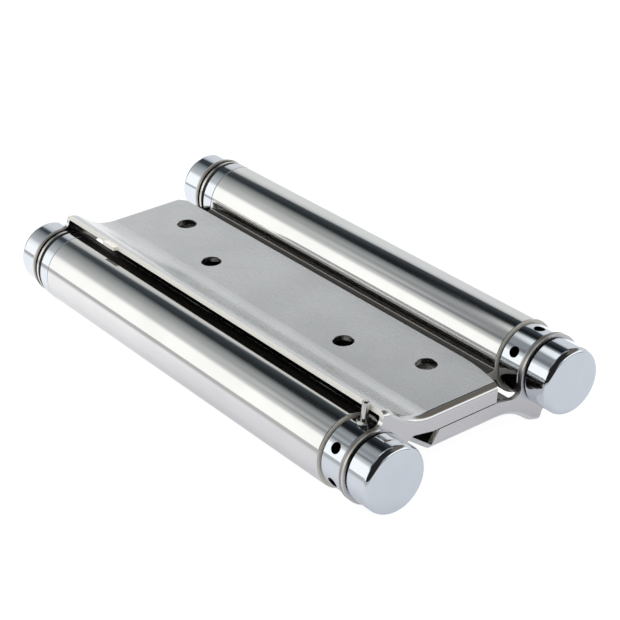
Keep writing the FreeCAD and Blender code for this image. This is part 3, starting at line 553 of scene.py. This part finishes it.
def grained(name, metallic, grain_per_metre, detail, dark, light, rough, depth):
    """Finish whose colour, gloss and bump all follow one noise."""
    material, tree, shader = new_material(name, metallic)
    grain = noise(tree, grain_per_metre, detail)
    join_shader(tree, shader, {
        "Base Color": clouded(tree, grain, dark, light),
        "Roughness": spread(tree, grain, *rough),
        "Normal": bump(tree, grain, depth),
    })
    return material


def oiled_spring_steel():
    """Dark oil-tempered wire."""
    return grained("oiled_spring_steel", metallic=0.9, grain_per_metre=700, detail=3.0,
                   dark=WIRE_DARK, light=WIRE_LIGHT, rough=WIRE_ROUGH, depth=WIRE_DEPTH)


def black_nylon():
    """Black nylon of the spacers and the cap washers."""
    return grained("black_nylon", metallic=0.0, grain_per_metre=3000, detail=2.0,
                   dark=NYLON_DARK, light=NYLON_LIGHT, rough=NYLON_ROUGH, depth=NYLON_DEPTH)


spring_wire = oiled_spring_steel()
nylon = black_nylon()
print("spring wire and nylon:", len(nylon.node_tree.nodes), "nodes each")

# %% [markdown]
# ## Put the finishes on
#
# The record of the part names the slot of each piece. Each slot gets its finish. The two leaves and the
# two collars get one each, because their marks are measured from their own barrel.

# %% Assign the finishes
SLOT_FINISHES = {
    "tube_steel": polished_tube_steel,
    "plug_chrome": bright_chrome,
    "cap_chrome": bright_chrome,
    "pin_steel": bare_steel,
    "spindle_steel": bare_steel,
    "washer_steel": bare_steel,
    "spring_steel": spring_wire,
    "washer_nylon": nylon,
}
OWN_FINISHES = {
    "door_leaf": door_leaf_steel,
    "jamb_leaf": jamb_leaf_steel,
    "left_tension_collar": left_collar_chrome,
    "right_tension_collar": right_collar_chrome,
}
used_finishes = set()
for entry in frame["record"]["subparts"]:
    finish = OWN_FINISHES.get(entry["node"]) or SLOT_FINISHES[entry["material_slot"]]
    used_finishes.add(finish.name)
    for slot in nodes[entry["node"]].material_slots:
        slot.material = finish

# %% [markdown]
# ## Camera
#
# The picture is taken from the near left, looking down at the hinge, with a long lens so that the far
# end is only a little smaller than the near end. The camera could be aimed at a target, but it is also
# rolled a little, so its three axes are worked out from three angles and set as a matrix.

# %% Camera
CAMERA_PLACE = (-0.279154, -0.380494, 0.253585)
CAMERA_AZIMUTH = math.radians(-37.023)
CAMERA_ELEVATION = math.radians(28.244)
CAMERA_ROLL = math.radians(-1.415)
CAMERA_LENS = 107.57
SENSOR_WIDTH = 36.0

back = Vector((math.sin(CAMERA_AZIMUTH) * math.cos(CAMERA_ELEVATION),
               -math.cos(CAMERA_AZIMUTH) * math.cos(CAMERA_ELEVATION), math.sin(CAMERA_ELEVATION)))
right = Vector((math.cos(CAMERA_AZIMUTH), math.sin(CAMERA_AZIMUTH), 0.0))
up = back.cross(right)
turned_right = math.cos(CAMERA_ROLL) * right + math.sin(CAMERA_ROLL) * up
turned_up = -math.sin(CAMERA_ROLL) * right + math.cos(CAMERA_ROLL) * up
camera_data = bpy.data.cameras.new("camera")
camera_data.lens = CAMERA_LENS
camera_data.sensor_width = SENSOR_WIDTH
camera = bpy.data.objects.new("camera", camera_data)
bpy.context.collection.objects.link(camera)
camera.matrix_world = Matrix((turned_right, turned_up, back)).transposed().to_4x4()
camera.location = CAMERA_PLACE
bpy.context.scene.camera = camera
print("camera:", round(Vector(CAMERA_PLACE).length / MM), "mm from the hinge's middle")

# %% [markdown]
# ## The table
#
# The hinge lies on a white table. Polished metal is a picture of what stands round it, so reflections
# see the table in other tones than the camera does: a middle grey that grows paler towards the back,
# pale behind on the right, darker in front, and dark where it ends on the left. The camera sees it
# white, apart from the hinge's own soft shadow, and matte surfaces get an even light from it. Where a
# tone begins and is full is given in metres to the right of the hinge's middle, or behind it.

# %% Table
TABLE_SIZE = 4.0
TABLE_GLOW = (0.86, 0.86, 0.86)
TABLE_PAINT = (0.30, 0.30, 0.30)
TABLE_FOR_MATTE = (0.60, 0.60, 0.60)
MIRRORED_MIDDLE = (0.43, 0.43, 0.46)
MIRRORED_FAR = (0.66, 0.66, 0.68)
MIRRORED_RIGHT_BACK = (0.80, 0.80, 0.82)
MIRRORED_FRONT = (0.35, 0.36, 0.39)
MIRRORED_LEFT = (0.15, 0.15, 0.15)
FAR_BORDER = (-0.03, 0.10)
RIGHT_BORDER = (0.04, 0.07)
RIGHT_BACK_BORDER = (-0.10, -0.05)
FRONT_BORDER = (-0.06, -0.10)
LEFT_BORDER = (-0.075, -0.13)


def add_table(size, level):
    """Square table top at a height."""
    half = size / 2
    mesh = bpy.data.meshes.new("table")
    corners = [(-half, -half, level), (half, -half, level), (half, half, level), (-half, half, level)]
    mesh.from_pydata(corners, [], [(0, 1, 2, 3)])
    piece = bpy.data.objects.new("table", mesh)
    bpy.context.collection.objects.link(piece)
    return piece


def mirrored_table(tree):
    """Colour of the table in reflections, from how far right and back a point of it lies."""
    point, _ = object_place(tree)
    right_back = both(tree, ease(tree, point[0], *RIGHT_BORDER), ease(tree, point[1], *RIGHT_BACK_BORDER))
    mirrored = blend(tree, ease(tree, point[1], *FAR_BORDER), MIRRORED_MIDDLE, MIRRORED_FAR)
    mirrored = blend(tree, right_back, mirrored, MIRRORED_RIGHT_BACK)
    mirrored = blend(tree, ease(tree, point[1], *FRONT_BORDER), mirrored, MIRRORED_FRONT)
    return blend(tree, ease(tree, point[0], *LEFT_BORDER), mirrored, MIRRORED_LEFT)


# %% [markdown]
# A Light Path node knows which kind of ray meets the table, and so chooses the tone. The tone glows, and
# a pale paint is added to it, because a glow alone would take no shadow.

# %% Table paint
def table_white():
    """White that glows for the camera and in reflections, over a pale paint that takes the shadow."""
    material = bpy.data.materials.new("table_white")
    material.use_nodes = True
    tree = material.node_tree
    tree.nodes.clear()
    path = add_node(tree, "ShaderNodeLightPath")
    seen = blend(tree, path.outputs["Is Glossy Ray"], TABLE_FOR_MATTE, mirrored_table(tree))
    seen = blend(tree, path.outputs["Is Camera Ray"], seen, TABLE_GLOW)
    glow = add_node(tree, "ShaderNodeEmission", {"Color": seen, "Strength": 1.0})
    paint = add_node(tree, "ShaderNodeBsdfDiffuse", {"Color": (*TABLE_PAINT, 1.0)})
    added = add_node(tree, "ShaderNodeAddShader", {0: glow.outputs[0], 1: paint.outputs[0]})
    output = add_node(tree, "ShaderNodeOutputMaterial")
    tree.links.new(added.outputs[0], output.inputs["Surface"])
    return material


table = add_table(TABLE_SIZE, cad_low.z)
table.data.materials.append(table_white())
print("table:", TABLE_SIZE, "m wide,", round(-cad_low.z / MM, 1), "mm below the hinge's middle plane")

# %% [markdown]
# ## The studio
#
# The studio is a world of soft panels, painted one over another. Lamps and cards could do the same, but
# a painted sky needs no objects, and each panel's place can be read off in degrees. A panel is a patch
# of sky between two bearings and two heights, with soft edges. Bearings count from straight back, to
# the right, and heights from the horizon.

# %% Patches of sky
def window(tree, value, low, high, soft_low, soft_high):
    """Mask that is full between two values, with a soft border round each of them."""
    return both(tree, ease(tree, value, low - soft_low, low + soft_low),
                ease(tree, value, high + soft_high, high - soft_high))


def fade(tree, value, start, end, first, second):
    """Colour that goes from first to second as a value goes from start to end."""
    return blend(tree, ease(tree, value, start, end), first, second)


def sky_place(tree):
    """Bearing and height of a place in the sky, in degrees."""
    place = add_node(tree, "ShaderNodeTexCoord")
    split = add_node(tree, "ShaderNodeSeparateXYZ", {0: place.outputs["Generated"]})
    right_of_back = sum_up(tree, "ARCTAN2", split.outputs[0], split.outputs[1])
    above = sum_up(tree, "ARCSINE", split.outputs[2])
    degrees = math.degrees(1.0)
    return sum_up(tree, "MULTIPLY", right_of_back, degrees), sum_up(tree, "MULTIPLY", above, degrees)


# %% [markdown]
# The polish mirrors all of it. A grey wall and a softbox stand on the left, and a long pale panel
# behind on the right. The dark gap over the pale panel gives the tubes their dark stripe. The overhead
# panel and the small softbox in front on the right show in rounded edges, and the brown card over that
# softbox in the near bend of the leaf. The black ceiling and cards keep the rest of the polish dark.

# %% Studio picture
ROOM_GREY = (0.34, 0.35, 0.36)
NEARLY_BLACK = (0.02, 0.02, 0.02)
WALL_DARK = (0.22, 0.24, 0.24)
WALL_LIGHT = (0.56, 0.57, 0.57)
WALL_TOP = (0.28, 0.29, 0.30)
WALL_CORNER = (0.20, 0.21, 0.22)
PALE_LOW = (0.71, 0.72, 0.73)
PALE_HIGH = (0.55, 0.56, 0.57)
GAP_LOW = (0.045, 0.055, 0.062)
GAP_HIGH = (0.012, 0.014, 0.016)
OVERHEAD = (0.98, 1.0, 1.0)
LEFT_SOFTBOX = (1.12, 1.12, 1.10)
BROWN_CARD = (0.14, 0.125, 0.105)
FRONT_SOFTBOX = (1.15, 1.15, 1.15)
CEILING_FADE = (56, 68)
WALL_FADE = (2, -34)
PALE_FADE = (24, 34)
GAP_FADE = (37, 46)
BROWN_FADE = (138, 152)


def studio_picture(tree, bearing, height):
    """Colour of the sky: a grey room with a black ceiling, and the panels painted over it."""
    wall = fade(tree, bearing, *WALL_FADE, WALL_DARK, WALL_LIGHT)
    pale = fade(tree, height, *PALE_FADE, PALE_LOW, PALE_HIGH)
    gap = fade(tree, height, *GAP_FADE, GAP_LOW, GAP_HIGH)
    brown = fade(tree, bearing, *BROWN_FADE, BROWN_CARD, NEARLY_BLACK)
    # Each panel has its colour, its bearings, its heights, and how soft its sides and its ends are.
    panels = {
        "wall on the left": (wall, (-75, 3), (20, 49), (8, 6), (6, 2)),
        "darker top of the wall": (WALL_TOP, (-70, -16), (41, 52), (6, 4), (3, 2)),
        "dark corner of the wall": (WALL_CORNER, (-80, -32), (34, 44), (5, 4), (3, 3)),
        "pale panel behind on the right": (pale, (8, 118), (-20, 34), (8, 6), (3, 2)),
        "dark gap over the pale panel": (gap, (1, 66), (34.5, 50), (7, 6), (1.5, 2)),
        "overhead panel": (OVERHEAD, (-20, 14), (51, 62), (3, 3), (1.5, 3)),
        "softbox on the left": (LEFT_SOFTBOX, (-78, -28), (-1, 27), (6, 7), (1, 4)),
        "brown card in front on the right": (brown, (66, 185), (28, 64), (6, 1), (6, 4)),
        "small softbox in front on the right": (FRONT_SOFTBOX, (112, 165), (8, 24), (6, 6), (3, 3)),
        "black card on the left": (NEARLY_BLACK, (-185, -78), (-20, 72), (1, 6), (4, 4)),
        "black card over the left softbox": (NEARLY_BLACK, (-185, -58), (34, 72), (1, 5), (3, 4)),
    }
    picture = fade(tree, height, *CEILING_FADE, ROOM_GREY, NEARLY_BLACK)
    for colour, bearings, heights, soft_sides, soft_ends in panels.values():
        mask = both(tree, window(tree, bearing, *bearings, *soft_sides),
                    window(tree, height, *heights, *soft_ends))
        picture = blend(tree, mask, picture, colour)
    print("panels in the studio:", len(panels))
    return picture


# %% [markdown]
# Only reflections need the panels. Matte edges and the table get the plain light of a whole room, and
# the camera sees white.

# %% Studio
MATTE_LIGHT = (0.92, 0.92, 0.92)
WHITE = (1.0, 1.0, 1.0)


def studio_world():
    """World that is the panels in reflections, a plain light on matte surfaces and white to the camera."""
    world = bpy.data.worlds.new("studio")
    world.use_nodes = True
    tree = world.node_tree
    tree.nodes.clear()
    path = add_node(tree, "ShaderNodeLightPath")
    picture = studio_picture(tree, *sky_place(tree))
    picture = blend(tree, path.outputs["Is Diffuse Ray"], picture, MATTE_LIGHT)
    picture = blend(tree, path.outputs["Is Camera Ray"], picture, WHITE)
    background = add_node(tree, "ShaderNodeBackground", {"Color": picture, "Strength": 1.0})
    output = add_node(tree, "ShaderNodeOutputWorld")
    tree.links.new(background.outputs[0], output.inputs["Surface"])
    return world


bpy.context.scene.world = studio_world()
print("studio:", len(bpy.context.scene.world.node_tree.nodes), "nodes")

# %% [markdown]
# ## The lamp
#
# One weak lamp, high behind on the right, gives the hinge a direction to its shadow. It is kept out of
# reflections, because the panels already draw the highlights.

# %% Lamp
LAMP_PLACE = Vector((0.3, 0.2, 1.2))
LAMP_SIDE = 0.7
LAMP_WATTS = 5.0

lamp_data = bpy.data.lights.new("top_softbox", "AREA")
lamp_data.shape = "RECTANGLE"
lamp_data.size = LAMP_SIDE
lamp_data.size_y = LAMP_SIDE
lamp_data.energy = LAMP_WATTS
lamp = bpy.data.objects.new("top_softbox", lamp_data)
bpy.context.collection.objects.link(lamp)
lamp.location = LAMP_PLACE
lamp.rotation_euler = (-LAMP_PLACE).to_track_quat("-Z", "Y").to_euler()
lamp.visible_glossy = False
print("lamp:", LAMP_WATTS, "W")

# %% [markdown]
# ## Finish
#
# The Standard view shows colours as they are written.

# %% Finish
bpy.context.scene.view_settings.view_transform = "Standard"
